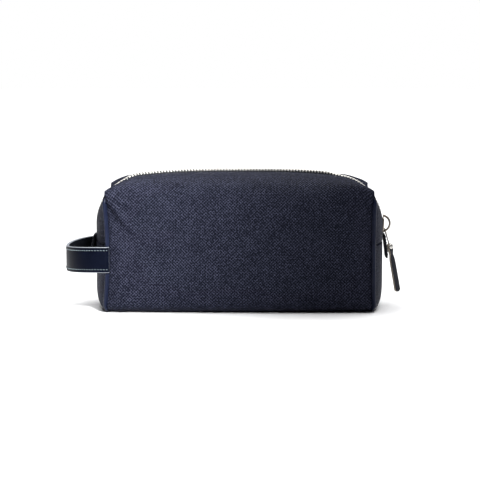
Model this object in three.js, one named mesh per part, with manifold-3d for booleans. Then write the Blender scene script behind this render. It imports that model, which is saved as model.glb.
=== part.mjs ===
// Shaving kit bag: a boxy leather wash bag with a zip over the top and down
// both ends, piped end edges, a side carrying handle and a leather zip pull.
// Millimetres. Origin at the centre of the base, +X right, +Y back, +Z up.
import * as THREE from 'three';
import Module from 'manifold-3d';

const wasm = await Module();
wasm.setup();
const { Manifold, Mesh } = wasm;

// ---- driving sizes --------------------------------------------------------
const SEAM_X = 121.7;        // half length at the end seams
const SEAM_Y = 52;           // half depth at the end seams
const FACE_BULGE = 6.5;      // how far the faces swell past the seams
const MID_Z = 62;            // height of the seam across each end
const EDGE_POWER = 10;       // squareness of the long bottom edges
const WRAP_Y = 40;           // how far the faces turn under the base
const CROWN = 3.7;           // rise of the top from the corners to the middle
const END_X = 132.8;         // half length over the swollen ends
const ARC_X = 87.8;          // centre of the zip's bend over each end
const ARC_Z = 77.5;
const ARC_R = END_X - ARC_X; // radius of that bend
const LIP_X = 92;            // half length of the part of the top that opens
const FOOT_X = 118;          // half length of the flat base
const FOOT_RISE = 24;        // height of the rounded lower end edge
const EAR = 7;               // lift of the four top corners
const LEATHER = 1.6;
const LINING = 0.8;
const GAP = 0.3;
const ZIP_HALF = 5;          // leather edge to zip centre line
const TAPE_HALF = 9;
const TEETH = 3.1;           // half width of the closed teeth
const PIPING_R = 1.5;
const STRAP_W = 23.4;
const STRAP_Z = 49;
const TAB_TOP = 67.2;
const STRAP_REACH = 161;     // far face of the handle from the bag's centre
const SLIDER_AT = -3;        // degrees round the zip's bend, at rest
const SLIDER_SPAN = 9.5;     // half length of the slider, degrees
const SLIDER_HALF = 4.6;
const ARCH = { x: 132.5, z: 76.9, r: 7.4, wire: 0.95 };
const RIVET = new THREE.Vector3(140.1, 0, 55.2);
const PULL_LEN = 43;
const RAD = Math.PI / 180;
const JUNCTION_Z = ARC_Z + Math.sqrt(ARC_R ** 2 - (SEAM_X - ARC_X) ** 2);

// ---- materials ------------------------------------------------------------
const mat = (color, roughness, metalness = 0) =>
  new THREE.MeshStandardMaterial({ color, roughness, metalness });
const LEATHER_MAT = mat(0x2b2f42, 0.5);
const SMOOTH_MAT = mat(0x30364e, 0.4);
const STRAP_MAT = mat(0x131a2a, 0.3);
const LINING_MAT = mat(0x4a4f5c, 0.9);
const TAPE_MAT = mat(0x14161c, 0.9);
const BOARD_MAT = mat(0x8a7f6d, 0.95);
const METAL_MAT = mat(0xb9b6ae, 0.35, 1);

const group = new THREE.Group();
group.name = 'shaving_kit_bag';

function addNode(name, geometry, material) {
  const mesh = new THREE.Mesh(geometry, material);
  mesh.name = name;
  group.add(mesh);
}

// ---- solid builders -------------------------------------------------------
function closedGeometry(points, faces) {
  const g = new THREE.BufferGeometry();
  g.setAttribute('position', new THREE.Float32BufferAttribute(points.flatMap((p) => p.toArray()), 3));
  g.setIndex(faces);
  const a = new THREE.Vector3(), b = new THREE.Vector3(), c = new THREE.Vector3();
  let volume = 0;
  for (let i = 0; i < faces.length; i += 3) {
    a.copy(points[faces[i]]); b.copy(points[faces[i + 1]]); c.copy(points[faces[i + 2]]);
    volume += a.dot(b.cross(c));
  }
  if (volume < 0) {
    for (let i = 0; i < faces.length; i += 3) [faces[i], faces[i + 1]] = [faces[i + 1], faces[i]];
    g.setIndex(faces);
  }
  g.computeVertexNormals();
  return g;
}

// A sheet of thickness (d1 - d0) lying d0 below the surface P(u, v).
function shell(P, us, vs, d0, d1, centre) {
  const h = 1e-3;
  const points = [];
  for (const depth of [d0, d1]) {
    for (const u of us) {
      for (const v of vs) {
        const p = P(u, v);
        const n = P(u + h, v).sub(P(u - h, v)).cross(P(u, v + h).sub(P(u, v - h))).normalize();
        if (n.dot(p.clone().sub(centre)) < 0) n.negate();
        points.push(p.addScaledVector(n, -depth));
      }
    }
  }
  const nu = us.length, nv = vs.length, half = nu * nv;
  const faces = [];
  const quad = (a, b, c, d) => faces.push(a, b, c, a, c, d);
  for (let i = 0; i < nu - 1; i++) {
    for (let j = 0; j < nv - 1; j++) {
      const a = i * nv + j, b = a + nv;
      quad(a, b, b + 1, a + 1);
      quad(half + a, half + a + 1, half + b + 1, half + b);
    }
  }
  for (let i = 0; i < nu - 1; i++) {
    const a = i * nv, b = a + nv;
    quad(a, half + a, half + b, b);
    quad(a + nv - 1, b + nv - 1, half + b + nv - 1, half + a + nv - 1);
  }
  for (let j = 0; j < nv - 1; j++) {
    const a = j, c = (nu - 1) * nv + j;
    quad(a, a + 1, half + a + 1, half + a);
    quad(c, half + c, half + c + 1, c + 1);
  }
  return closedGeometry(points, faces);
}

const steps = (from, to, count) =>
  Array.from({ length: count + 1 }, (_, i) => from + ((to - from) * i) / count);

// A bar with the rectangular section [y0, y1] x [d0, d1] along a path in XZ,
// where d is the depth below the path.
function pathBar(path, y0, y1, d0, d1) {
  const points = [];
  path.forEach((p, i) => {
    const a = path[Math.max(i - 1, 0)], b = path[Math.min(i + 1, path.length - 1)];
    const n = new THREE.Vector2(-(b[1] - a[1]), b[0] - a[0]).normalize();
    if (n.y * (p[1] - 40) + n.x * p[0] < 0) n.negate();
    for (const [y, d] of [[y0, d0], [y1, d0], [y1, d1], [y0, d1]]) {
      points.push(new THREE.Vector3(p[0] - n.x * d, y, p[1] - n.y * d));
    }
  });
  return closedGeometry(points, tubeFaces(path.length, 4));
}

function tubeFaces(rings, sides) {
  const faces = [];
  for (let i = 0; i < rings - 1; i++) {
    for (let k = 0; k < sides; k++) {
      const a = i * sides + k, b = i * sides + ((k + 1) % sides);
      faces.push(a, b, b + sides, a, b + sides, a + sides);
    }
  }
  for (let k = 1; k < sides - 1; k++) {
    faces.push(0, k + 1, k);
    const o = (rings - 1) * sides;
    faces.push(o, o + k, o + k + 1);
  }
  return faces;
}

const fromManifold = (solid) => {
  const m = solid.getMesh();
  const points = [];
  for (let i = 0; i < m.numVert; i++) {
    points.push(new THREE.Vector3(...m.vertProperties.slice(i * m.numProp, i * m.numProp + 3)));
  }
  return closedGeometry(points, Array.from(m.triVerts));
};

const toManifold = (geometry) => new Manifold(new Mesh({
  numProp: 3,
  vertProperties: new Float32Array(geometry.getAttribute('position').array),
  triVerts: new Uint32Array(geometry.getIndex().array),
}));

// A round rod between two points.
function rod(from, to, radius, sides = 12) {
  const dir = to.clone().sub(from);
  const q = new THREE.Quaternion().setFromUnitVectors(new THREE.Vector3(0, 0, 1), dir.clone().normalize());
  const m = new THREE.Matrix4().compose(from, q, new THREE.Vector3(1, 1, 1));
  return Manifold.cylinder(dir.length(), radius, radius, sides).transform([...m.elements]);
}

// ---- the bag's outer surface ----------------------------------------------
const topZ = (x) => (Math.abs(x) <= LIP_X
  ? ARC_Z + Math.sqrt(ARC_R ** 2 - (LIP_X - ARC_X) ** 2) + CROWN * (1 - Math.abs(x / LIP_X) ** 3)
  : ARC_Z + Math.sqrt(Math.max(ARC_R ** 2 - (Math.abs(x) - ARC_X) ** 2, 0)));
const halfDepth = (e) => SEAM_Y + FACE_BULGE * (1 - e ** 2.5);

// x of an end's seam at height z: pulled in at mid height, more at the handle's
// end, and tucked at the foot
function seamX(z, end) {
  const foot = z < 8 ? (122.3 - FOOT_X) * (1 - z / 8) ** 2 : 0;
  const waist = end < 0 ? 2.8 : 0.9;
  return 122.3 - waist * Math.sin((Math.PI * z) / 106) - foot;
}

// x of the end's middle line at height z
function endMiddleX(z) {
  if (z > ARC_Z) return ARC_X + Math.sqrt(Math.max(ARC_R ** 2 - (z - ARC_Z) ** 2, 0));
  if (z < FOOT_RISE) {
    const t = Math.min(1, (FOOT_RISE - z) / FOOT_RISE);
    return FOOT_X + (END_X - FOOT_X) * Math.cbrt(1 - t ** 3);
  }
  return END_X;
}

function endX(y, z, end) {
  const zc = Math.min(z, JUNCTION_Z);
  const across = Math.max(0, 1 - (y / SEAM_Y) ** 2) ** 0.7;
  return seamX(zc, end) + (endMiddleX(zc) - seamX(zc, end)) * across;
}

// Point of the body skin: x along the bag, angle up from mid height,
// side -1 for the front half and +1 for the back half.
function skin(side) {
  return (x, angle) => {
    const e = Math.min(Math.abs(x) / SEAM_X, 1.05);
    const up = angle >= 0;
    const m = up ? 3.6 + 12 * e ** 8 : EDGE_POWER;
    const height = up ? topZ(x) - MID_Z : MID_Z;
    const c = Math.cos(angle * RAD), s = Math.sin(angle * RAD);
    const r = (Math.abs(c) ** m + Math.abs(s) ** m) ** (-1 / m);
    const across = r * c;
    const y = halfDepth(e) * across;
    let z = MID_Z + height * r * s;
    if (up) z += EAR * e ** 6 * Math.abs(across) ** 4 * r * s;
    const px = x + Math.sign(x) * e ** 4 * (endX(y, z, Math.sign(x)) - SEAM_X);
    return new THREE.Vector3(px, side * y, z);
  };
}

// Lower end in (k, t): k -1..1 across it, t from 0 at the base edge, 1 at the top of the
// rounded edge, 2 at the seam.
function lowerEndSkin(end) {
  return (k, t) => {
    let z;
    if (t < 1) {
      const a = (1 - t) * 90 * RAD;
      const r = (Math.cos(a) ** 3 + Math.sin(a) ** 3) ** (-1 / 3);
      z = FOOT_RISE * (1 - r * Math.sin(a));
    } else z = FOOT_RISE + (t - 1) * (MID_Z - GAP - FOOT_RISE);
    const y = k * lowerEndHalf(z);
    return new THREE.Vector3(end * endX(y, z, end), y, z);
  };
}

// Corner flap in (s, v): s 0..1 along the top from the lip to the end,
// 1..2 down the end to the seam; v 0 at the zip to 1 at the outer edge.
function flapSkin(end, side, inner, outerAngle, outerY, startX, stopZ) {
  const top = skin(side);
  return (s, v) => {
    const e1 = (x) => Math.min(Math.abs(x) / SEAM_X, 1);
    const angleAt = (x) => {
      const a0 = Math.atan2(halfDepth(e1(x)), inner) / RAD;
      return a0 + (outerAngle - a0) * v;
    };
    if (s <= 1) {
      const x = startX + (SEAM_X - startX) * s;
      return top(end * x, angleAt(x));
    }
    const joint = top(end * SEAM_X, angleAt(SEAM_X));
    const k = s - 1;
    const yEnd = inner + (outerY - inner) * v;
    const y = Math.abs(joint.y) + (yEnd - Math.abs(joint.y)) * Math.min(1, k * 3);
    const z = joint.z + (stopZ - joint.z) * k;
    return new THREE.Vector3(end * endX(y, z, end), side * y, z);
  };
}

// The face skin, with angles of -48 to -52 spread to reach the wrap line.
function faceSkin(side) {
  const P = skin(side);
  return (x, a) => {
    if (a >= -48) return P(x, a);
    const under = Math.atan2(halfDepth(Math.abs(x) / SEAM_X), WRAP_Y) / RAD;
    return P(x, -48 + ((a + 48) / 4) * (under - 48));
  };
}

// Half width of the lower end at height z, inside the turned-under faces.
function lowerEndHalf(z) {
  const outer = (h) => (h <= 0 ? WRAP_Y - 0.6
    : SEAM_Y * (1 - ((MID_Z - Math.min(h, MID_Z)) / MID_Z) ** EDGE_POWER) ** (1 / EDGE_POWER));
  return Math.max(WRAP_Y - 0.6, Math.min(49.9, outer(z) - 2.1, outer(z - 2.1), outer(z - 1.5) - 1.5));
}

const CENTRE = new THREE.Vector3(0, 0, 50);
const SPLIT = 45;            // angle of the shoulder line the lips turn on
const SIDES = [['front', -1], ['back', 1]];
const ENDS = [['left', -1], ['right', 1]];
const BODY_X = SEAM_X - 1.1;
const HALF_GAP = 0.25;       // half the gap along the shoulder line, degrees

// ---- faces, top and linings -----------------------------------------------
for (const [name, side] of SIDES) {
  const P = skin(side);
  const face = faceSkin(side);
  const liningX = steps(-BODY_X + 3, BODY_X - 3, 14);
  const liningAngles = steps(-44.5, -36, 2).concat(steps(-24, 24, 4), steps(34, SPLIT - 1, 2));
  addNode(`${name}_panel`,
    shell(face, [-BODY_X, ...liningX, BODY_X], [...steps(-52, -48, 3), ...liningAngles, SPLIT - HALF_GAP],
      0, LEATHER, CENTRE), LEATHER_MAT);
  addNode(`${name}_lining`,
    shell(P, liningX, liningAngles, LEATHER + GAP, LEATHER + GAP + LINING, CENTRE), LINING_MAT);

  const lipX = LIP_X - GAP / 2;
  const strip = (inner, outerAngle) => (x, v) => {
    const a0 = Math.atan2(halfDepth(Math.abs(x) / SEAM_X), inner) / RAD;
    return P(x, outerAngle + (a0 - outerAngle) * v);
  };
  addNode(`${name}_top_panel`,
    shell(strip(ZIP_HALF, SPLIT + HALF_GAP), steps(-lipX, lipX, 12), steps(0, 1, 5), 0, LEATHER, CENTRE), LEATHER_MAT);
  addNode(`${name}_top_lining`,
    shell(strip(TAPE_HALF + 0.5, SPLIT + 1), steps(-lipX + 1.2, lipX - 1.2, 12), steps(0, 1, 4),
      LEATHER + 2 * GAP, LEATHER + 2 * GAP + LINING, CENTRE), LINING_MAT);

  const crown = steps(-lipX, lipX, 12).map((x) => [x, topZ(x)]);
  const [t0, t1] = side < 0 ? [-TEETH, -0.2] : [0.2, TEETH];
  addNode(`${name}_teeth`, pathBar(crown, t0, t1, 0, 2.4), METAL_MAT);
  const [p0, p1] = side < 0 ? [-TAPE_HALF, -3.4] : [3.4, TAPE_HALF];
  addNode(`${name}_tape`, pathBar(crown, p0, p1, 2.1, 2.7), TAPE_MAT);
}

// ---- ends -----------------------------------------------------------------
for (const [endName, end] of ENDS) {
  const endCentre = new THREE.Vector3(end * 60, 0, 50);
  const acrossLining = [-0.92, -0.72, -0.44, 0, 0.44, 0.72, 0.92];
  const upLining = [0.5, 0.75, 1, 1.5, 1.9];
  addNode(`${endName}_end_lower`,
    shell(lowerEndSkin(end), [-1, ...acrossLining, 1], [0, 0.25, ...upLining, 2], 0, LEATHER, endCentre), LEATHER_MAT);
  addNode(`${endName}_end_lining`,
    shell(lowerEndSkin(end), acrossLining, upLining, LEATHER + GAP, LEATHER + GAP + LINING, endCentre), LINING_MAT);

  const arc = steps(-18, 90 - Math.asin((LIP_X + GAP - ARC_X) / ARC_R) / RAD, 11)
    .map((a) => [end * (ARC_X + ARC_R * Math.cos(a * RAD)), ARC_Z + ARC_R * Math.sin(a * RAD)]);
  addNode(`${endName}_end_teeth`, pathBar(arc, -TEETH, TEETH, 0, 2.4), METAL_MAT);

  for (const [sideName, side] of SIDES) {
    const [p0, p1] = side < 0 ? [-TAPE_HALF, -3.4] : [3.4, TAPE_HALF];
    addNode(`${endName}_${sideName}_tape`, pathBar(arc, p0, p1, 2.1, 2.7), TAPE_MAT);

    const flap = flapSkin(end, side, ZIP_HALF, SPLIT + HALF_GAP, 49.9, LIP_X + GAP / 2, MID_Z + GAP);
    addNode(`${endName}_${sideName}_flap`,
      shell(flap, steps(0, 2, 14), [0, 0.25, 0.5, 0.75, 0.9, 1], 0, LEATHER, endCentre), LEATHER_MAT);
    const inner = flapSkin(end, side, TAPE_HALF + 0.5, SPLIT + 4, 45, LIP_X + GAP / 2, MID_Z + 2);
    addNode(`${endName}_${sideName}_flap_lining`,
      shell(inner, steps(0, 2, 10), [0, 0.4, 0.75, 1], LEATHER + GAP, LEATHER + GAP + LINING, endCentre), LINING_MAT);

    const heights = [3, 6, 12, 28, 44, 60, 76, 90, 103];
    const rings = heights.flatMap((z) => steps(0, 315, 7).map((a) => new THREE.Vector3(
      end * (seamX(z, end) + 0.9 + PIPING_R * Math.cos(a * RAD)), side * (52.3 + PIPING_R * Math.sin(a * RAD)), z)));
    addNode(`${endName}_${sideName}_piping`, closedGeometry(rings, tubeFaces(heights.length, 8)), SMOOTH_MAT);
  }
}

// ---- base -----------------------------------------------------------------
function slab(x, y, z0, z1) {
  const g = new THREE.BoxGeometry(2 * x, 2 * y, z1 - z0);
  g.translate(0, 0, (z0 + z1) / 2);
  return g;
}
addNode('base_panel', slab(FOOT_X - 0.5, WRAP_Y - 0.6, 0, LEATHER), LEATHER_MAT);
addNode('base_board', slab(112, 38.5, LEATHER + GAP, LEATHER + GAP + 2), BOARD_MAT);
addNode('base_lining', slab(112, 38.5, 4.2, 5), LINING_MAT);

// ---- zip slider, link and pull --------------------------------------------
function arcBlock(a0, a1, r0, r1, y0, y1) {
  const path = steps(a0, a1, 4).map((a) => [ARC_X + r1 * Math.cos(a * RAD), ARC_Z + r1 * Math.sin(a * RAD)]);
  return pathBar(path, y0, y1, 0, r1 - r0);
}
const s0 = SLIDER_AT - SLIDER_SPAN, s1 = SLIDER_AT + SLIDER_SPAN;
const plate = toManifold(arcBlock(s0, s1, ARC_R + 0.3, ARC_R + 1.8, -SLIDER_HALF, SLIDER_HALF));
const flanges = [-1, 1].map((k) => toManifold(arcBlock(s0 + 1, s1 - 1, ARC_R - 1.4, ARC_R + 1,
  k > 0 ? 3.5 : -SLIDER_HALF, k > 0 ? SLIDER_HALF : -3.5)));
const archRings = steps(-78, 78, 12).flatMap((a) => steps(0, 315, 7).map((t) => {
  const r = ARCH.r + ARCH.wire * Math.cos(t * RAD);
  return new THREE.Vector3(ARCH.x + r * Math.cos(a * RAD), ARCH.wire * Math.sin(t * RAD), ARCH.z + r * Math.sin(a * RAD));
}));
const arch = toManifold(closedGeometry(archRings, tubeFaces(13, 8)));
addNode('slider_body', fromManifold(Manifold.union([plate, ...flanges, arch])), METAL_MAT);
addNode('slider_lower_plate', arcBlock(s0, s1, ARC_R - 4.2, ARC_R - 2.9, -SLIDER_HALF, SLIDER_HALF), METAL_MAT);

const ringAt = new THREE.Vector3(ARCH.x + ARCH.r * Math.cos(-65 * RAD), 0, ARCH.z + ARCH.r * Math.sin(-65 * RAD));
const linkDir = RIVET.clone().sub(ringAt).normalize();
const pullDir = new THREE.Vector3(0.178, 0, -0.984).normalize();
const pullFlat = new THREE.Vector3(0.984, 0, 0.178).normalize();
const pullFace = pullFlat.clone().multiplyScalar(0.643).add(new THREE.Vector3(0, -0.766, 0)).normalize();

const linkRings = steps(0, 330, 11).flatMap((a) => steps(0, 300, 5).map((t) => {
  const r = 2.1 + 0.55 * Math.cos(t * RAD);
  const normal = new THREE.Vector3(0, 1, 0).cross(linkDir);
  return ringAt.clone().addScaledVector(linkDir, r * Math.cos(a * RAD))
    .add(new THREE.Vector3(0, r * Math.sin(a * RAD), 0)).addScaledVector(normal, 0.55 * Math.sin(t * RAD));
}));
const ringFaces = [];
for (let i = 0; i < 12; i++) {
  for (let k = 0; k < 6; k++) {
    const a = i * 6 + k, b = i * 6 + ((k + 1) % 6), c = ((i + 1) % 12) * 6 + ((k + 1) % 6), d = ((i + 1) % 12) * 6 + k;
    ringFaces.push(a, b, c, a, c, d);
  }
}
const linkRing = toManifold(closedGeometry(linkRings, ringFaces));
const shank = rod(ringAt.clone().addScaledVector(linkDir, 2.1), RIVET.clone().addScaledVector(linkDir, -1.9), 0.55, 8);
const eyeRadius = 2.2;
const eye = rod(RIVET.clone().addScaledVector(pullFace, -0.4), RIVET.clone().addScaledVector(pullFace, 0.4), eyeRadius);
const eyeHole = rod(RIVET.clone().addScaledVector(pullFace, -2), RIVET.clone().addScaledVector(pullFace, 2), 1.3, 10);
addNode('pull_link', fromManifold(Manifold.union([linkRing, shank, eye]).subtract(eyeHole)), METAL_MAT);

const rivet = Manifold.union([
  rod(RIVET.clone().addScaledVector(pullFace, -1.9), RIVET.clone().addScaledVector(pullFace, 2.1), 0.95, 10),
  rod(RIVET.clone().addScaledVector(pullFace, 1.6), RIVET.clone().addScaledVector(pullFace, 2.5), 2.5, 14),
  rod(RIVET.clone().addScaledVector(pullFace, -2), RIVET.clone().addScaledVector(pullFace, -1.6), 2.2, 14),
]);
addNode('pull_rivet', fromManifold(rivet), METAL_MAT);

// The pull: a folded strip, slotted at the top for the link's eye.
const pullHalf = (t) => (t < 0 ? Math.sqrt(Math.max(9 - t * t, 0.01))
  : 3 - 1.0 * Math.exp(-((t - 7) ** 2) / 12) + 0.3 * (t / PULL_LEN));
function pullLoop(half) {
  const stations = [-2.6, -1.5, 0, 3, 6, 9, 14, 22, 30, PULL_LEN - 3, PULL_LEN];
  const wide = new THREE.Vector3().crossVectors(pullDir, pullFace);
  const rings = stations.flatMap((t) => {
    const w = pullHalf(t) - (t === PULL_LEN ? 1.6 : 0);
    return [[-w, -half], [w, -half], [w, half], [-w, half]].map(([a, b]) =>
      RIVET.clone().addScaledVector(pullDir, t).addScaledVector(wide, a).addScaledVector(pullFace, b));
  });
  return toManifold(closedGeometry(rings, tubeFaces(stations.length, 4)));
}
const slot = new THREE.Matrix4().makeBasis(new THREE.Vector3().crossVectors(pullDir, pullFace), pullFace, pullDir)
  .setPosition(RIVET);
const slotBox = Manifold.cube([12, 1.7, 9], true).translate([0, 0, -1.2]).transform([...slot.elements]);
const rivetHole = rod(RIVET.clone().addScaledVector(pullFace, -3), RIVET.clone().addScaledVector(pullFace, 3), 1.2, 10);
addNode('leather_pull', fromManifold(pullLoop(1.5).subtract(slotBox).subtract(rivetHole)), STRAP_MAT);

// ---- leather tabs over the zip's ends --------------------------------------
for (const [endName, end] of ENDS) {
  const lean = 7 * RAD;
  const stations = [0, 8, 16, 22];
  const rings = stations.flatMap((t) => [[0, -12], [2, -12], [2, 12], [0, 12]].map(([d, y]) => new THREE.Vector3(
    end * (133.1 + t * Math.sin(lean) + d), y, TAB_TOP - t * Math.cos(lean))));
  addNode(`${endName}_end_tab`, closedGeometry(rings, tubeFaces(stations.length, 4)), STRAP_MAT);
}

// ---- carrying handle on the left end ----------------------------------------
function strapPoint(offset) {
  const a = STRAP_REACH - 121 - offset, b = 56.9 - offset;
  return (t, z) => {
    const k = Math.min(Math.max(t, -1), 1);
    const c = Math.abs(Math.cos(k * 90 * RAD)) ** (2 / 2.2), s = Math.abs(Math.sin(k * 90 * RAD)) ** (2 / 2.2);
    const tail = Math.max(0, Math.abs(t) - 1) * 28;
    const y = Math.sign(t) * b * s;
    const sag = 3 * (1 - s * s);
    return new THREE.Vector3(-121 - a * c + tail, y, STRAP_Z + z - sag);
  };
}
const strapSteps = [-1.1].concat(steps(-1, 1, 20), [1.1]);
function strapLayer(outer, thick, width) {
  const points = [];
  for (const t of strapSteps) {
    for (const [o, z] of [[outer, -width / 2], [outer + thick, -width / 2], [outer + thick, width / 2], [outer, width / 2]]) {
      points.push(strapPoint(o)(t, z));
    }
  }
  return closedGeometry(points, tubeFaces(strapSteps.length, 4));
}
addNode('handle_strap', strapLayer(0, 1.3, STRAP_W), STRAP_MAT);
addNode('handle_lining', strapLayer(1.6, 1.0, STRAP_W - 0.4), STRAP_MAT);

export default group;
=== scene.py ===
"""Looks of the shaving kit bag: cross-grained navy leather over a boxy body,
a metal zip with single teeth, piped ends, a stitched handle and a zip pull.
Shapes are worked out in millimetres in the part's frame and made in metres."""
import math

import bpy
import numpy as np
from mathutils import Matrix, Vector


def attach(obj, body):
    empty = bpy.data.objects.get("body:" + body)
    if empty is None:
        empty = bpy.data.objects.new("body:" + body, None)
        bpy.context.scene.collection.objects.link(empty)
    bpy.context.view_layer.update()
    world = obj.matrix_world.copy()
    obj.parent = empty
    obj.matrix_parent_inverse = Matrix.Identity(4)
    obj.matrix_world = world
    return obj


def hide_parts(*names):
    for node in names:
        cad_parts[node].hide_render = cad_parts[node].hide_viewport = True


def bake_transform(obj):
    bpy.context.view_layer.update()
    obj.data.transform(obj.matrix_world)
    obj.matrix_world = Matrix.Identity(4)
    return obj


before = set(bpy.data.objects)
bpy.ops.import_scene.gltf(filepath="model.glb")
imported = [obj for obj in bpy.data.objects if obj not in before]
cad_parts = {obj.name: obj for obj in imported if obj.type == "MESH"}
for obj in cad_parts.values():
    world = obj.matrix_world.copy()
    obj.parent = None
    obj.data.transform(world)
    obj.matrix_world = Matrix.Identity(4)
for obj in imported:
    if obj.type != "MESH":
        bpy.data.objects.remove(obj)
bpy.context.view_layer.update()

MM = 0.001
UV_MM = 100.0

# ---- sizes shared with the CAD part, in mm -------------------------------------------
SEAM_X, SEAM_Y, FACE_BULGE, MID_Z, CROWN = 121.7, 52.0, 6.5, 62.0, 3.7
END_SEAM_X, SEAM_PULL_LEFT, SEAM_PULL_RIGHT = 122.3, 2.8, 0.9
END_X, ARC_X, ARC_Z = 132.8, 87.8, 77.5
ARC_R = END_X - ARC_X
LIP_X, FOOT_X, FOOT_RISE, EAR = 92.0, 118.0, 24.0, 7.0
EDGE_POWER, WRAP_Y, ZIP_HALF, SPLIT = 10.0, 40.0, 5.0, 45.0
STRAP_W, STRAP_Z, STRAP_REACH, STRAP_HALF = 23.4, 49.0, 161.0, 56.9
STRAP_SEAM_X = 121
TAB_TOP, TAB_X, TAB_LEN, TAB_LEAN = 67.2, 133.1, 22, math.radians(7)
SLIDER_AT = -3.0
ARCH_X, ARCH_Z, ARCH_R = 132.5, 76.9, 7.4
RIVET = np.array([140.1, 0.0, 55.2])
PULL_LEN = 43.0
ZIP_END = 18  # degrees the zip runs on below the middle of its end arc
TOOTH_PITCH = 2.78
JUNCTION_Z = ARC_Z + math.sqrt(ARC_R ** 2 - (SEAM_X - ARC_X) ** 2)

# ---- sizes of the visible pieces only, in mm -----------------------------------------
LEATHER = 1.5
FLAP_Y, GAP_Z = 51.3, 0.15  # where the leather stops at the piping and at the end seam
CHAIN_UP = 0.3
STITCH, STITCH_IN = 2.7, 3.0  # stitch pitch, and the handle's stitch line from its edge

ENDS = (("left", -1), ("right", 1))
SIDES = (("front", -1), ("back", 1))


# ---- the bag's outer surface, as in the CAD part -------------------------------------
def top_z(x):
    x = np.abs(x)
    edge = ARC_Z + math.sqrt(ARC_R ** 2 - (LIP_X - ARC_X) ** 2)
    crown = edge + CROWN * (1 - (x / LIP_X) ** 3)
    arc = ARC_Z + np.sqrt(np.maximum(ARC_R ** 2 - (x - ARC_X) ** 2, 0))
    return np.where(x <= LIP_X, crown, arc)


def half_depth(e):
    return SEAM_Y + FACE_BULGE * (1 - e ** 2.5)


def seam_x(z, end):
    """x of an end's seam: pulled in at mid height, more at the handle's end."""
    foot = np.where(z < 8, (END_SEAM_X - FOOT_X) * (1 - np.minimum(z, 8) / 8) ** 2, 0)
    pull = np.where(end < 0, SEAM_PULL_LEFT, SEAM_PULL_RIGHT)
    return END_SEAM_X - pull * np.sin(np.pi * z / 106) - foot


def end_middle_x(z):
    arc = ARC_X + np.sqrt(np.maximum(ARC_R ** 2 - (z - ARC_Z) ** 2, 0))
    t = np.clip((FOOT_RISE - z) / FOOT_RISE, 0, 1)
    foot = FOOT_X + (END_X - FOOT_X) * np.cbrt(1 - t ** 3)
    return np.where(z > ARC_Z, arc, np.where(z < FOOT_RISE, foot, END_X))


def end_x(y, z, end):
    z = np.minimum(z, JUNCTION_Z)
    across = np.maximum(0, 1 - (y / SEAM_Y) ** 2) ** 0.7
    return seam_x(z, end) + (end_middle_x(z) - seam_x(z, end)) * across


def skin(x, angle, side):
    """Point of the body skin: x along the bag, angle up from mid height."""
    x, angle = np.broadcast_arrays(np.asarray(x, float), np.asarray(angle, float))
    e = np.minimum(np.abs(x) / SEAM_X, 1.05)
    up = angle >= 0
    m = np.where(up, 3.6 + 12 * e ** 8, EDGE_POWER)
    height = np.where(up, top_z(x) - MID_Z, MID_Z)
    c, s = np.cos(np.radians(angle)), np.sin(np.radians(angle))
    r = (np.abs(c) ** m + np.abs(s) ** m) ** (-1 / m)
    across = r * c
    y = half_depth(e) * across
    z = MID_Z + height * r * s
    z = z + np.where(up, EAR * e ** 6 * np.abs(across) ** 4 * r * s, 0)
    px = x + np.sign(x) * e ** 4 * (end_x(y, z, np.sign(x)) - SEAM_X)
    return np.stack([px, side * y, z], -1)


def smooth(t):
    t = np.clip(t, 0, 1)
    return t * t * (3 - 2 * t)


# ---- mesh helpers --------------------------------------------------------------------
def make(name, verts, faces, mats, uv=None, face_mats=None, shade=True):
    mesh = bpy.data.meshes.new(name)
    mesh.from_pydata((np.asarray(verts) * MM).tolist(), [], [tuple(f) for f in faces])
    for m in mats:
        mesh.materials.append(m)
    if uv is not None:
        layer = mesh.uv_layers.new(name="grain")
        loops = np.empty(len(mesh.loops), int)
        mesh.loops.foreach_get("vertex_index", loops)
        layer.data.foreach_set("uv", (np.asarray(uv)[loops] / UV_MM).ravel().astype(np.float32))
    if face_mats is not None:
        mesh.polygons.foreach_set("material_index", np.asarray(face_mats, np.int32))
    mesh.polygons.foreach_set("use_smooth", [shade] * len(mesh.polygons))
    mesh.validate()
    mesh.update()
    obj = bpy.data.objects.new(name, mesh)
    bpy.context.scene.collection.objects.link(obj)
    return obj


def normals_of(verts, quads):
    a, b, c, d = (verts[quads[:, i]] for i in range(4))
    n = np.cross(c - a, d - b)
    out = np.zeros_like(verts)
    for i in range(4):
        np.add.at(out, quads[:, i], n)
    return out / np.maximum(np.linalg.norm(out, axis=1, keepdims=True), 1e-9)


def thicken(verts, quads, normals, d0, d1):
    """A closed sheet from depth d0 to d1 under verts. Returns verts, faces and
    a kind per face: 0 outside, 1 rim, 2 inside."""
    count = len(verts)
    outer = verts - normals * np.reshape(d0, (-1, 1) if np.ndim(d0) else ())
    inner = verts - normals * np.reshape(d1, (-1, 1) if np.ndim(d1) else ())
    edges = {}
    for q in quads:
        for i in range(4):
            a, b = int(q[i]), int(q[(i + 1) % 4])
            if (b, a) in edges:
                del edges[(b, a)]
            else:
                edges[(a, b)] = True
    rim = [(b, a, a + count, b + count) for a, b in edges]
    faces = [tuple(q) for q in quads] + [tuple(q[::-1] + count) for q in quads] + rim
    kinds = [0] * len(quads) + [2] * len(quads) + [1] * len(rim)
    return np.vstack([outer, inner]), faces, kinds


def sheet(name, verts, quads, normals, depths, mats, uv):
    """A closed sheet under verts; the last material is on its rim and inside."""
    v, f, kinds = thicken(verts, quads, normals, *depths)
    return make(name, v, f, mats, np.vstack([uv, uv]), [0 if k == 0 else len(mats) - 1 for k in kinds])


def spans(*runs):
    """Rising values from runs of (start, stop, count); a shared end comes once."""
    return np.unique(np.concatenate([np.linspace(*run) for run in runs]))


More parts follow.
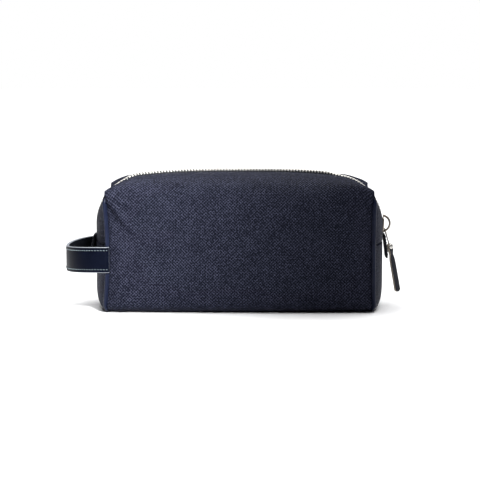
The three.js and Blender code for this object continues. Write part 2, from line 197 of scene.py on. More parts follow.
def grid_quads(nu, nv, offset=0):
    i, j = np.meshgrid(np.arange(nu - 1), np.arange(nv - 1), indexing="ij")
    a = (i * nv + j).ravel() + offset
    return np.stack([a, a + nv, a + nv + 1, a + 1], -1)


def loft(rings, caps=True):
    """Verts and faces of rings with the same number of points, in order."""
    count = len(rings[0])
    verts = np.concatenate([np.asarray(r, float) for r in rings])
    faces = []
    for i in range(len(rings) - 1):
        for k in range(count):
            a, b = i * count + k, i * count + (k + 1) % count
            faces.append((a, b, b + count, a + count))
    if caps:
        faces.append(tuple(range(count))[::-1])
        faces.append(tuple(range(len(verts) - count, len(verts))))
    return verts, faces


def both_sides(half, low, high):
    """Closed outline from the (across, height) points up one side of it."""
    mirror = [(-y, h) for y, h in half]
    return [mirror[0], (0, low)] + half + [(0, high)] + mirror[:0:-1]


def tube(path, radius, sides=16, closed=False):
    """Round tube along a path; radius is a number or one per point."""
    path = np.asarray(path, float)
    n = len(path)
    radius = np.broadcast_to(radius, n)
    if closed:
        tan = np.roll(path, -1, 0) - np.roll(path, 1, 0)
    else:
        tan = np.gradient(path, axis=0)
    tan /= np.linalg.norm(tan, axis=1, keepdims=True)
    up = np.cross(tan[0], [0.3, 1.0, 0.2])
    rings = []
    for p, t, r in zip(path, tan, radius):
        up = up - t * up.dot(t)
        up /= np.linalg.norm(up)
        other = np.cross(t, up)
        a = np.linspace(0, 2 * np.pi, sides, endpoint=False)[:, None]
        rings.append(p + r * (np.cos(a) * up + np.sin(a) * other))
    verts, faces = loft(rings, caps=not closed)
    if closed:
        base = (n - 1) * sides
        faces += [(base + k, base + (k + 1) % sides, (k + 1) % sides, k) for k in range(sides)]
    return verts, faces


def join(parts):
    """Several (verts, faces) as one."""
    verts, faces, offset = [], [], 0
    for v, f in parts:
        verts.append(np.asarray(v, float))
        faces += [tuple(int(i) + offset for i in face) for face in f]
        offset += len(v)
    return np.concatenate(verts), faces


def outward(verts, faces):
    """Flips the faces if the closed mesh is inside out."""
    v = np.asarray(verts)
    volume = 0.0
    for f in faces:
        for i in range(1, len(f) - 1):
            volume += np.dot(v[f[0]], np.cross(v[f[i]], v[f[i + 1]]))
    return [f[::-1] for f in faces] if volume < 0 else faces


# ---- materials -----------------------------------------------------------------------
class Nodes:
    """A Principled material and short ways to add nodes to it."""

    def __init__(self, name, **sockets):
        self.mat = bpy.data.materials.new(name)
        self.mat.use_nodes = True
        self.tree = self.mat.node_tree
        self.shader = self.tree.nodes["Principled BSDF"]
        for key, value in sockets.items():
            self.shader.inputs[key.replace("_", " ")].default_value = value

    def add(self, kind, **inputs):
        node = self.tree.nodes.new("ShaderNode" + kind)
        for key, value in inputs.items():
            self.set(node, key, value)
        return node

    def set(self, node, key, value):
        numbered = key[0] == "i" and key[1:].isdigit()
        socket = node.inputs[int(key[1:]) if numbered else key.replace("_", " ")]
        if isinstance(value, bpy.types.NodeSocket):
            self.tree.links.new(value, socket)
        else:
            socket.default_value = value

    def math(self, op, a, b):
        node = self.add("Math", i0=a, i1=b)
        node.operation = op
        return node.outputs[0]

    def uv(self, turn=0.0):
        """Coordinates along the surface, in mm."""
        source = self.add("UVMap")
        source.uv_map = "grain"
        return self.mapping(source.outputs[0], turn, (UV_MM,) * 3)

    def place(self, scale=1 / MM):
        """Coordinates in space, in mm."""
        return self.mapping(self.add("TexCoord").outputs["Object"], 0, (scale,) * 3)

    def mapping(self, vector, turn, scale):
        # scale first, then turn, so that the turned grain isn't skewed
        one = self.add("Mapping", Vector=vector, Scale=scale)
        if not turn:
            return one.outputs[0]
        return self.add("Mapping", Vector=one.outputs[0], Rotation=(0, 0, math.radians(turn))).outputs[0]

    def noise(self, vector, scale, detail=3.0):
        return self.add("TexNoise", Vector=vector, Scale=scale, Detail=detail,
                        Roughness=0.55).outputs["Fac"]

    def wave(self, vector, pitch, axis, distortion, detail_scale=1.0):
        node = self.add("TexWave", Vector=vector, Scale=math.pi / (10 * pitch), Distortion=distortion,
                        Detail=2.0, Detail_Scale=detail_scale)
        node.wave_type, node.bands_direction, node.wave_profile = "BANDS", axis, "SIN"
        return node.outputs["Fac"]

    def ramp(self, fac, stops):
        node = self.add("ValToRGB", Fac=fac)
        band = node.color_ramp
        while len(band.elements) < len(stops):
            band.elements.new(0.5)
        for element, (pos, color) in zip(band.elements, stops):
            element.position = pos
            element.color = (*color, 1)
        return node.outputs[0]

    def grey(self, fac, lo, hi):
        return self.add("MapRange", Value=fac, To_Min=lo, To_Max=hi).outputs[0]

    def bump(self, height, distance, strength=1.0):
        return self.add("Bump", Height=height, Distance=distance * MM, Strength=strength).outputs[0]

    def done(self, color=None, rough=None, normal=None):
        for key, value in (("Base Color", color), ("Roughness", rough), ("Normal", normal)):
            if value is not None:
                self.set(self.shader, key, value)
        return self.mat


def cross_grain(name, dark, mid, light):
    """Leather pressed with fine crossed diagonal lines; the raised lines are painted lighter, a painted
    highlight of light catching them.
    """
    n = Nodes(name, Specular_IOR_Level=0.02)
    pitch = 2.05
    flat = n.uv()
    turned = n.uv(45)
    broken_a = n.noise(n.mapping(turned, 0, (1.0, 0.6, 1)), 0.8, 0.0)
    broken_b = n.noise(n.mapping(turned, 0, (0.6, 1.0, 1)), 0.8, 0.0)
    lines_a = n.math("MULTIPLY", n.wave(turned, pitch, "X", 0.35, 0.5), n.grey(broken_a, 0.3, 1.4))
    lines_b = n.math("MULTIPLY", n.wave(turned, pitch, "Y", 0.35, 0.5), n.grey(broken_b, 0.3, 1.4))
    lines = n.math("POWER", n.math("MAXIMUM", lines_a, lines_b), 1.6)
    soft = n.noise(flat, 0.05, 2.0)
    # painted highlight: the raised lines are coloured towards the lightest colour where light would catch
    # them; the soft noise adds the leather's own uneven tone
    tone = n.math("ADD", n.math("MULTIPLY", lines, 0.8), n.math("MULTIPLY", soft, 0.25))
    color = n.ramp(tone, [(0.15, dark), (0.55, mid), (0.95, light)])
    rough = n.grey(lines, 0.6, 0.42)
    fine = n.noise(flat, 4.0, 2.0)
    height = n.math("ADD", lines, n.math("MULTIPLY", fine, 0.12))
    return n.done(color, rough, n.bump(height, 0.35, 1.0))


def smooth_leather(name, dark, light, rough, pore, spec):
    n = Nodes(name, Specular_IOR_Level=spec)
    p = n.place()
    soft = n.noise(p, 0.12, 3.0)
    cells = n.add("TexVoronoi", Vector=p, Scale=1.7)
    pores = n.noise(p, 3.0, 3.0)
    pebbles = n.math("MULTIPLY", cells.outputs["Distance"], 0.6)
    height = n.math("ADD", pebbles, n.math("MULTIPLY", pores, 0.5))
    color = n.ramp(soft, [(0.3, dark), (0.7, light)])
    return n.done(color, n.grey(pores, *rough), n.bump(height, pore, 0.7))


def edge_paint(name, color):
    n = Nodes(name, Specular_IOR_Level=0.5)
    p = n.place()
    grain = n.noise(p, 0.9, 3.0)
    shade = n.ramp(grain, [(0.3, tuple(c * 0.75 for c in color)), (0.7, color)])
    return n.done(shade, n.grey(grain, 0.32, 0.5), n.bump(grain, 0.06, 0.6))


def thread(name, color):
    n = Nodes(name, Roughness=0.7, Sheen_Weight=0.3)
    p = n.place()
    twist = n.wave(n.mapping(p, 30, (1, 1, 1)), 0.35, "X", 0.5)
    shade = n.ramp(twist, [(0.1, tuple(c * 0.55 for c in color)), (0.8, color)])
    return n.done(shade, None, n.bump(twist, 0.08, 0.8))


def cloth(name, dark, light, pitch, depth=0.12):
    n = Nodes(name, Roughness=0.85, Sheen_Weight=0.25, Sheen_Roughness=0.4)
    flat = n.uv()
    warp, weft = n.wave(n.uv(45), pitch, "X", 0.4), n.wave(flat, pitch * 0.7, "Y", 0.4)
    weave = n.math("MULTIPLY", warp, n.grey(weft, 0.55, 1.0))
    tone = n.math("ADD", n.math("MULTIPLY", weave, 0.7), n.math("MULTIPLY", n.noise(flat, 0.3), 0.3))
    return n.done(n.ramp(tone, [(0.15, dark), (0.85, light)]), None, n.bump(weave, depth, 0.8))


def plated(name, color, rough, wear):
    n = Nodes(name, Metallic=1.0)
    p = n.place()
    cloud = n.noise(p, 0.6, 4.0)
    scratch = n.noise(n.mapping(p, 20, (1, 6, 1)), 1.5, 3.0)
    shade = n.ramp(cloud, [(0.25, tuple(c * (1 - wear) for c in color)), (0.75, color)])
    return n.done(shade, n.grey(scratch, rough - 0.07, rough + 0.12), n.bump(scratch, 0.02, 0.5))


# the third, lightest colour is painted highlight on the raised lines of the grain
GRAIN = cross_grain("navy_cross_grain", (0.0038, 0.0043, 0.0082), (0.0102, 0.0116, 0.0205),
                    (0.046, 0.049, 0.079))
SUEDE = smooth_leather("leather_back", (0.012, 0.012, 0.018), (0.02, 0.02, 0.03), (0.8, 0.9), 0.1, 0.1)
PIPING = smooth_leather("piping_leather", (0.0055, 0.008, 0.022), (0.0085, 0.0118, 0.029),
                        (0.32, 0.40), 0.03, 0.13)
STRAP = smooth_leather("strap_leather", (0.0007, 0.0016, 0.0058), (0.0013, 0.0026, 0.0085),
                       (0.42, 0.5), 0.025, 0.05)
STRAP_BACK = smooth_leather("strap_lining_leather", (0.003, 0.0035, 0.006), (0.005, 0.006, 0.009),
                            (0.6, 0.7), 0.06, 0.08)
PULL = smooth_leather("pull_leather", (0.014, 0.015, 0.021), (0.022, 0.023, 0.031), (0.45, 0.55), 0.05, 0.2)
TAB = smooth_leather("tab_leather", (0.004, 0.005, 0.008), (0.007, 0.008, 0.012), (0.45, 0.55), 0.04, 0.15)
SILVER_EDGE = edge_paint("strap_edge_paint", (0.20, 0.215, 0.24))
BEIGE_EDGE = edge_paint("pull_edge_paint", (0.52, 0.45, 0.36))
THREAD = thread("pale_thread", (0.12, 0.165, 0.185))
DARK_THREAD = thread("navy_thread", (0.03, 0.035, 0.06))
LINING = cloth("lining_twill", (0.035, 0.038, 0.05), (0.10, 0.105, 0.13), 0.9)
TAPE = cloth("zip_tape", (0.008, 0.009, 0.012), (0.026, 0.028, 0.036), 0.8, 0.2)
NICKEL = plated("nickel_teeth", (0.72, 0.70, 0.66), 0.40, 0.15)
ANTIQUE = plated("antique_nickel", (0.29, 0.25, 0.21), 0.30, 0.4)
BOARD = edge_paint("base_board_card", (0.30, 0.26, 0.20))


# ---- leather sheets ------------------------------------------------------------------
def row_angle(x, v, zip_half):
    """Row v on the skin at x: 0..1 under the base edge, 1..2 the face,
    2..3 the top from the shoulder to the zip."""
    depth = half_depth(np.minimum(np.abs(x) / SEAM_X, 1))
    under = np.degrees(np.arctan2(depth, WRAP_Y))
    zip_angle = np.degrees(np.arctan2(depth, zip_half))
    return np.where(v <= 1, -under + (under - 48) * v,
                    np.where(v <= 2, -48 + (SPLIT + 48) * (v - 1), SPLIT + (zip_angle - SPLIT) * (v - 2)))


def bumps(p, seed):
    """Gentle rises and dips of soft leather, in mm, about -1 to 1."""
    rng = np.random.default_rng(seed)
    out = np.zeros(len(p))
    for _ in range(10):
        k = rng.normal(size=3) * np.array([0.05, 0.05, 0.065])
        out += np.sin(p @ k + rng.uniform(0, 6.28)) * rng.uniform(0.5, 1)
    return out / 4.5


def crease(p, a, b, width, height, taper=0.5):
    """A soft ridge on a face from a to b, both (x, z)."""
    a, b = np.array(a, float), np.array(b, float)
    d = b - a
    length = np.linalg.norm(d)
    d /= length
    q = p[:, [0, 2]] - a
    t = q @ d / length
    off = q @ np.array([-d[1], d[0]])
    along = smooth((t + 0.08) / 0.15) * smooth((1 - t) / taper)
    return height * along * np.exp(-(off / width) ** 2)


def face_relief(p):
    """Tension ridges that fan out of the corners of a face, in mm."""
    on_face = smooth((np.abs(p[:, 1]) - 44) / 5)
    r = np.zeros(len(p))
    for sx, strength in ((-1, 1.0), (1, 0.7)):
        for (ax, az), (bx, bz), w, h in (
            ((121, 105), (92, 70), 3.2, 1.5), ((120, 101), (104, 66), 2.6, -0.4),
            ((118, 108), (84, 88), 4.0, 0.8), ((120, 4), (104, 25), 3.0, 1.3),
            ((119, 12), (110, 36), 2.6, -0.6), ((114, 2), (90, 12), 3.4, 0.6),
            ((119, 62), (100, 56), 5.0, 0.5)):
            r += strength * crease(p, (sx * ax, az), (sx * bx, bz), w, h)
    return 2.3 * r * on_face


def level_middle(verts, normals):
    """Normals with no x part at x = 0, so two mirrored halves meet there."""
    out = normals.copy()
    out[np.abs(verts[:, 0]) < 0.05, 0] = 0
    return out / np.linalg.norm(out, axis=1, keepdims=True)


def half_grid(side, end, xs, vs, ss, outer_y, stop_z, zip_half):
    """Grid over one half of a side's face and top, and on over the end."""
    x, v = np.meshgrid(xs, vs, indexing="ij")
    body = skin(end * x, row_angle(x, v, zip_half), side)
    nv = len(vs)
    top = [j for j in range(nv) if vs[j] >= 2 - 1e-9]
    nt = len(top)
    joint = body[-1, top]
    y0, z0 = np.abs(joint[:, 1]), joint[:, 2]
    y1 = outer_y + (zip_half - outer_y) * (vs[top] - 2)
    s = np.asarray(ss)[:, None]
    y = y0 + (y1 - y0) * np.minimum(1, 3 * s)
    z = z0 + (stop_z - z0) * s
    down = np.stack([end * end_x(y, z, end), side * y, z], -1)
    start = (len(xs) - 1) * nv
    base = len(xs) * nv
    link = [[start + top[j], base + j, base + j + 1, start + top[j + 1]] for j in range(nt - 1)]
    quads = [grid_quads(len(xs), nv), np.array(link), grid_quads(len(ss), nt, base)]
    verts = np.concatenate([body.reshape(-1, 3), down.reshape(-1, 3)])
    # distances along and across the sheet, for the grain, measured at each column
    along = np.concatenate([x.ravel(), (SEAM_X + s * (z0 - stop_z)).ravel()])
    rows = np.concatenate([[0], np.cumsum(np.linalg.norm(np.diff(body[0], axis=0), axis=1))])
    across = np.concatenate([np.tile(rows, len(xs)), np.tile(rows[top], len(ss))])
    uv = np.stack([end * along, side * across], -1)
    quads = np.concatenate(quads)
    if end * side > 0:
        quads = quads[:, ::-1]
    normals = normals_of(verts, quads)
    centre = np.array([end * 50.0, 0, 55.0])
    if np.mean(np.sum(normals * (verts - centre), 1)) < 0:
        quads = quads[:, ::-1]
        normals = -normals
    return verts, quads, level_middle(verts, normals), uv


def follow_lip(obj):
    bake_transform(obj)


def zip_dip(verts):
    """How far the leather sinks beside the chain, in mm."""
    return 1.5 * (1 - smooth((np.abs(verts[:, 1]) - 22) / 18)) * smooth((verts[:, 2] - 84) / 14)


def leather_half(side_name, side, end_name, end):
    xs = spans((0, 0.04, 2), (0, 108, 73), (109.2, SEAM_X - 3, 9), (SEAM_X - 2.4, SEAM_X, 6))
    vs = spans((0, 1, 12), (1, 2, 66), (2, 2.9, 26), (2.9, 3, 8))
    ss = np.linspace(0, 1, 46)[1:]
    verts, quads, normals, uv = half_grid(side, end, xs, vs, ss, FLAP_Y, MID_Z + GAP_Z, ZIP_HALF)
    ax, ay, z = np.abs(verts[:, 0]), np.abs(verts[:, 1]), verts[:, 2]
    lift = face_relief(verts)
    calm = smooth((ay - 6) / 14) * smooth((z - 4) / 14) * (1 - smooth((ax - 108) / 12) * (ay > 45))
    lift += 0.55 * bumps(verts, 7 + side) * calm
    # turned edges: along the zip, along the piping, and at the end seam
    lift -= 0.55 * np.clip(1 - (ay - ZIP_HALF) / 0.9, 0, 1) ** 2
    lift -= 0.35 * zip_dip(verts)
    on_top_end = (ax > SEAM_X - 6) & (ay < 51.5) & (z < JUNCTION_Z + 1) & (z > MID_Z - 1)
    lift -= np.where(on_top_end, 1.0 * np.clip(1 - (z - MID_Z) / 1.6, 0, 1) ** 2, 0)
    seam_gap = seam_x(np.minimum(z, JUNCTION_Z), end) - ax
    flap = np.zeros(len(verts))
    flap[len(xs) * len(vs):] = np.repeat(ss, (len(verts) - len(xs) * len(vs)) // len(ss))
    face = smooth((ay - 47) / 2.5) * (z < 106) * (1 - smooth(flap / 0.1))
    lift -= 1.9 * face * np.clip(1 - seam_gap / 3.4, 0, 1) ** 2
    lift -= 1.3 * face * np.clip(1 - seam_gap / 13, 0, 1) ** 2
    verts = verts + normals * lift[:, None]
    name = f"leather_{side_name}_{end_name}"
    obj = sheet(name, verts, quads, normals, (0, LEATHER), [GRAIN, SUEDE], uv)
    follow_lip(obj)
    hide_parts(f"{side_name}_panel", f"{side_name}_top_panel", f"{end_name}_{side_name}_flap")


def lining_half(side_name, side, end_name, end):
    xs = spans((0, 0.04, 2), (0, 108, 37), (111, SEAM_X - 3.5, 4))
    vs = spans((0.62, 1, 5), (1, 2, 30), (2, 3, 14))
    ss = np.linspace(0, 1, 22)[1:]
    verts, quads, normals, uv = half_grid(side, end, xs, vs, ss, 47.5, MID_Z, 9.5)
    drape = 0.35 * np.sin(verts[:, 0] * 0.11 + side) * smooth((100 - np.abs(verts[:, 0])) / 20)
    drape = drape - 0.9 * zip_dip(verts)
    name = f"lining_{side_name}_{end_name}"
    obj = sheet(name, verts, quads, normals, (2.55 - drape, 3.05 - drape), [LINING], uv)
    follow_lip(obj)
    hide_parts(f"{side_name}_lining", f"{side_name}_top_lining", f"{end_name}_{side_name}_flap_lining")


# ---- the zip -------------------------------------------------------------------------
def zip_path(count=2400):
    """Points, outward normals and lengths along the chain from the middle of
    the top to the end seam, in (x, z), for the right half."""
    x = np.linspace(0, LIP_X, count)
    top = np.stack([x, top_z(x)], -1)
    first = 90 - math.degrees(math.asin((LIP_X - ARC_X) / ARC_R))
    a = np.radians(np.linspace(first, -ZIP_END, count))[1:]
    arc = np.stack([ARC_X + ARC_R * np.cos(a), ARC_Z + ARC_R * np.sin(a)], -1)
    p = np.concatenate([top, arc])
    t = np.gradient(p, axis=0)
    t /= np.linalg.norm(t, axis=1, keepdims=True)
    s = np.concatenate([[0], np.cumsum(np.linalg.norm(np.diff(p, axis=0), axis=1))])
    return p, np.stack([-t[:, 1], t[:, 0]], -1), s


ZIP_P, ZIP_N, ZIP_S = zip_path()


def chain_lift(s, end):
    """How far the chain stands up out of the top, in mm, at length s."""
    reach = 97 if end > 0 else 112
    return 2.2 * smooth((reach - np.asarray(s, float)) / 20)


def on_zip(s, h, y, end):
    """A point h above the chain's top face, at length s from the middle."""
    s = np.asarray(s, float)
    p = np.stack([np.interp(s, ZIP_S, ZIP_P[:, k]) for k in (0, 1)], -1)
    n = np.stack([np.interp(s, ZIP_S, ZIP_N[:, k]) for k in (0, 1)], -1)
    q = p + n * np.asarray(h, float)[..., None]
    return np.stack([end * q[..., 0], np.broadcast_to(y, q[..., 0].shape), q[..., 1]], -1)


def tooth_shape(side):
    """One tooth as rings across the zip: (y, half width, low, high)."""
    rows = [(3.65, 0.56, -3.1, -1.7), (3.35, 0.74, -3.2, -0.95), (2.8, 0.78, -2.5, -0.25),
            (1.9, 0.76, -2.05, 0.0), (0.9, 0.64, -2.0, 0.0), (0.45, 0.50, -1.75, -0.12),
            (-0.1, 0.60, -1.65, -0.18), (-0.55, 0.55, -1.5, -0.3), (-0.75, 0.36, -1.3, -0.5)]
    rings = []
    for y, w, lo, hi in rows:
        c = min(0.22, (hi - lo) * 0.25)
        rings.append([(-w + c, y, lo), (w - c, y, lo), (w, y, lo + c), (w, y, hi - c),
                      (w - c, y, hi), (-w + c, y, hi), (-w, y, hi - c), (-w, y, lo + c)])
    v, f = loft(rings)
    v[:, 1] *= side
    return v, f


def teeth_half(side_name, side, end_name, end):
    v0, f0 = tooth_shape(side)
    f0 = outward(v0, f0)
    if end < 0:
        f0 = [f[::-1] for f in f0]
    first = TOOTH_PITCH * (0.25 if side * end < 0 else 0.75)
    parts = []
    for s in np.arange(first, ZIP_S[-1] - 1.0, TOOTH_PITCH):
        height = v0[:, 2] + CHAIN_UP + chain_lift(s, end)
        parts.append((on_zip(s + v0[:, 0], height, v0[:, 1], end), f0))
    v, f = join(parts)
    obj = make(f"zip_teeth_{side_name}_{end_name}", v, f, [NICKEL], shade=False)
    follow_lip(obj)
    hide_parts(f"{side_name}_teeth", f"{end_name}_end_teeth")


def tape_half(side_name, side, end_name, end):
    s = np.arange(0, ZIP_S[-1] + 0.01, 1.3)
    s[-1] = ZIP_S[-1]
    # a beaded inner edge under the teeth, then the flat woven tape
    profile = np.array([
        (2.3, -0.9), (2.55, -0.75), (3.0, -0.7), (3.3, -0.95), (3.7, -1.3), (4.6, -1.75),
        (6.5, -1.95), (9.0, -2.1), (9.0, -2.45), (6.5, -2.3), (4.6, -2.15), (3.7, -1.9),
        (3.3, -2.0), (3.0, -2.2), (2.55, -2.15), (2.3, -1.9)])
    across, high = profile.T
    rings = []
    for t in s:
        level = np.interp(t, ZIP_S, ZIP_P[:, 1])
        dip = 0.9 * float(smooth((level - 84) / 14)) * smooth((across - 3.2) / 1.6)
        proud = (CHAIN_UP + float(chain_lift(t, end))) * (1 - smooth((across - 3.0) / 1.6))
        rings.append(on_zip(np.full(len(profile), t), high - dip + proud, side * across, end))
    v, f = loft(rings)
    uv = np.concatenate([np.stack([np.full(len(across), t), across], -1) for t in s])
    obj = make(f"zip_tape_{side_name}_{end_name}", v, outward(v, f), [TAPE], uv)
    follow_lip(obj)
    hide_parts(f"{side_name}_tape", f"{end_name}_{side_name}_tape")


# ---- ends, piping and base -----------------------------------------------------------
def corner_y(z):
    """Half the depth of an end at its seam, rounded in towards the base."""
    low = np.clip((MID_Z - z) / MID_Z, 0, 1)
    return SEAM_Y * (1 - low ** EDGE_POWER) ** (1 / EDGE_POWER)


def lower_end_half(z):
    limit = np.minimum.reduce([np.full_like(z, FLAP_Y), corner_y(z) - 0.4, corner_y(z - 0.8) + 0.2])
    return np.maximum(limit, WRAP_Y - 0.6)


def lower_end(end_name, end):
    t = spans((0, 1, 26), (1, 2, 26))
    k = spans((-1, -0.9, 7), (-0.9, 0.9, 45), (0.9, 1, 7))
    kk, tt = np.meshgrid(k, t, indexing="ij")
    a = np.clip(1 - tt, 0, 1) * np.pi / 2
    r = (np.abs(np.cos(a)) ** 3 + np.abs(np.sin(a)) ** 3) ** (-1 / 3)
    upper = FOOT_RISE + (tt - 1) * (MID_Z - GAP_Z - FOOT_RISE)
    z = np.where(tt < 1, FOOT_RISE * (1 - r * np.sin(a)), upper)
    y = kk * lower_end_half(z)
    verts = np.stack([end * end_x(y, z, end), y, z], -1).reshape(-1, 3)
    quads = grid_quads(len(k), len(t))
    normals = normals_of(verts, quads)
    if np.mean(normals[:, 0]) * end < 0:
        quads, normals = quads[:, ::-1], -normals
    zz = verts[:, 2]
    lift = -1.0 * np.clip(1 - (MID_Z - zz) / 1.6, 0, 1) ** 2
    calm = smooth((zz - 6) / 12) * smooth((50 - np.abs(verts[:, 1])) / 12) * smooth((MID_Z - zz) / 10)
    lift += 0.45 * bumps(verts, 31 + end) * calm
    verts = verts + normals * lift[:, None]
    uv = np.stack([verts[:, 1], zz + end * 3], -1)
    name = f"leather_{end_name}_end"
    obj = sheet(name, verts, quads, normals, (0, LEATHER), [GRAIN, SUEDE], uv)
    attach(obj, "bag_body")
    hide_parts(f"{end_name}_end_lower")
    inner = (np.abs(kk) < 0.93) & (tt > 0.45)
    ik, it = np.where(inner.any(1))[0], np.where(inner.any(0))[0]
    sub = verts.reshape(len(k), len(t), 3)[ik[0]:ik[-1] + 1, it[0]:it[-1] + 1].reshape(-1, 3)
    sq = grid_quads(len(ik), len(it))
    sn = normals_of(sub, sq)
    if np.mean(sn[:, 0]) * end < 0:
        sq, sn = sq[:, ::-1], -sn
    obj = sheet(f"lining_{end_name}_end", sub, sq, sn, (1.9, 2.5), [LINING], sub[:, 1:])
    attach(obj, "bag_body")
    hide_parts(f"{end_name}_end_lining")


def piping(side_name, side, end_name, end):
    # (z, radius) of the rounded foot and head of the piping
    foot = [(1.2, 0.6), (1.6, 1.0), (2.2, 1.25)]
    head = [(101.5, 1.3), (102.8, 1.2), (103.8, 1.0), (104.4, 0.55)]
    middle = spans((3.0, 12, 12), (13.5, 100, 54))
    z = np.concatenate([[h for h, _ in foot], middle, [h for h, _ in head]])
    x = seam_x(z, end) + 0.9 - 1.6 * smooth((z - 99) / 6)
    y = corner_y(z) + 0.3 - 1.3 * smooth((z - 98) / 7)
    r = np.concatenate([[w for _, w in foot], np.full(len(middle), 1.38), [w for _, w in head]])
    r = r + 0.06 * np.sin(z * 0.9 + end)
    v, f = tube(np.stack([end * x, side * y, z], -1), r, 20)
    cord = (v, outward(v, f))
    # the flange of the piping, sewn into the seam
    xf, yf = seam_x(middle, end) + 0.2, corner_y(middle) - 0.6
    rings = [[(end * (a - 1.6), side * (b + 0.1), c), (end * (a + 0.9), side * (b + 0.5), c),
              (end * (a + 0.9), side * (b - 2.6), c), (end * (a - 1.6), side * (b - 2.3), c)]
             for a, b, c in zip(xf, yf, middle)]
    fv, ff = loft(rings)
    v, f = join([cord, (fv, outward(fv, ff))])
    obj = make(f"piping_{side_name}_{end_name}", v, f, [PIPING])
    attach(obj, "bag_body")
    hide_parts(f"{end_name}_{side_name}_piping")


def base():
    x = np.concatenate([[-FOOT_X - 0.6], np.linspace(-FOOT_X + 1, FOOT_X - 1, 90), [FOOT_X + 0.6]])
    y = np.concatenate([[-WRAP_Y - 0.2], np.linspace(-WRAP_Y + 1.2, WRAP_Y - 1.2, 34), [WRAP_Y + 0.2]])
    xx, yy = np.meshgrid(x, y, indexing="ij")
    edge = np.minimum(FOOT_X + 0.6 - np.abs(xx), WRAP_Y + 0.2 - np.abs(yy))
    z = 0.9 * np.clip(1 - edge / 1.4, 0, 1) ** 2
    verts = np.stack([xx, yy, z], -1).reshape(-1, 3)
    quads = grid_quads(len(x), len(y))[:, ::-1]
    normals = normals_of(verts, quads)
    if normals[:, 2].mean() > 0:
        quads, normals = quads[:, ::-1], -normals
    obj = sheet("leather_base", verts, quads, normals, (0, LEATHER), [GRAIN, SUEDE], verts[:, :2])
    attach(obj, "bag_body")
    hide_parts("base_panel")
    x = np.linspace(-113, 113, 110)
    y = np.linspace(-39, 39, 40)
    xx, yy = np.meshgrid(x, y, indexing="ij")
    z = 4.9 + 0.25 * np.sin(xx * 0.07 + 1) * np.sin(yy * 0.11)
    verts = np.stack([xx, yy, z], -1).reshape(-1, 3)
    quads = grid_quads(len(x), len(y))
    normals = np.tile([0, 0, 1.0], (len(verts), 1))
    obj = sheet("lining_base", verts, quads, normals, (0, 0.6), [LINING], verts[:, :2])
    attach(obj, "bag_body")
    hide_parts("base_lining")


# ---- slider, link and pull -----------------------------------------------------------
ARC_S = (ZIP_S[-1] - math.radians(ZIP_END) * ARC_R, ZIP_S[-1])
SLIDER_S = float(np.interp(-SLIDER_AT, [0, ZIP_END], ARC_S))


def outline_stack(outline, levels):
    """Rings of a (s, y) outline at heights h, each pulled in by an inset."""
    outline = np.asarray(outline, float)
    centre = outline.mean(0)
    rings = []
    for h, inset in levels:
        away = outline - centre
        length = np.linalg.norm(away, axis=1, keepdims=True)
        flat = centre + away * (1 - inset / length)
        rings.append(on_zip(SLIDER_S + flat[:, 0], np.full(len(flat), float(h)), flat[:, 1], 1))
    v, f = loft(rings)
    return v, outward(v, f)


def shield(half_len, wide, narrow, n=48):
    """Rounded outline, wider at its upper end (towards the top of the bag)."""
    a = np.linspace(0, 2 * np.pi, n, endpoint=False)
    s = np.sign(np.cos(a)) * np.abs(np.cos(a)) ** 0.5 * half_len
    w = wide + (narrow - wide) * smooth((s / half_len + 0.4) / 1.4)
    return np.stack([s, np.sign(np.sin(a)) * np.abs(np.sin(a)) ** 0.5 * w], -1)


def slider():
    plate = outline_stack(shield(7.3, 4.6, 3.6), [(0.35, 0.3), (0.5, 0.0), (1.2, 0.0), (1.5, 0.25),
                                                  (1.7, 0.8), (1.78, 1.6)])
    rails = []
    for k in (-1, 1):
        rail = np.array([[-5.2, 3.55], [-4.4, 3.45], [4.2, 3.45], [5.0, 3.6],
                         [5.0, 4.0], [4.2, 4.25], [-4.4, 4.45], [-5.2, 4.2]])
        rail[:, 1] *= k
        rails.append(outline_stack(rail, [(-1.25, 0.15), (-1.1, 0.0), (0.8, 0.0)]))
    a = np.radians(np.linspace(-77, 77, 60))
    arch = np.stack([ARCH_X + ARCH_R * np.cos(a), 0 * a, ARCH_Z + ARCH_R * np.sin(a)], -1)
    wire = 0.98 + 0.2 * smooth((np.abs(np.degrees(a)) - 62) / 14)
    av, af = tube(arch, wire, 18)
    feet = []
    for z, x in ((ARCH_Z + 7.0, 133.9), (ARCH_Z - 7.0, 133.6)):
        rings = []
        for h, r in ((-0.4, 1.5), (0.1, 1.5), (0.5, 1.35), (0.9, 1.1)):
            t = np.linspace(0, 2 * np.pi, 20, endpoint=False)
            rings.append(np.stack([np.full(20, x + h), r * 0.9 * np.cos(t), z + r * np.sin(t)], -1))
        v, f = loft(rings)
        feet.append((v, outward(v, f)))
    v, f = join([plate, *rails, (av, outward(av, af)), *feet])
    body = make("slider_top", v, f, [ANTIQUE])
    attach(body, "slider")
    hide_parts("slider_body")
    v, f = outline_stack(shield(6.6, 4.4, 3.5), [(-4.1, 1.0), (-3.95, 0.3), (-3.6, 0.0),
                                                 (-3.0, 0.0), (-2.9, 0.2)])
    lower = make("slider_under_plate", v, f, [ANTIQUE])
    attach(lower, "slider")
    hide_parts("slider_lower_plate")


PULL_DIR = np.array([0.178, 0, -0.984]) / np.linalg.norm([0.178, 0, -0.984])
FLAT = np.array([0.984, 0, 0.178])
PULL_FACE = FLAT * 0.643 + np.array([0, -0.766, 0])
PULL_FACE /= np.linalg.norm(PULL_FACE)
PULL_WIDE = np.cross(PULL_DIR, PULL_FACE)
HANG = math.radians(-65)  # where on the bail the link's ring hangs
RING_AT = np.array([ARCH_X + ARCH_R * math.cos(HANG), 0, ARCH_Z + ARCH_R * math.sin(HANG)])
LINK_DIR = (RIVET - RING_AT) / np.linalg.norm(RIVET - RING_AT)


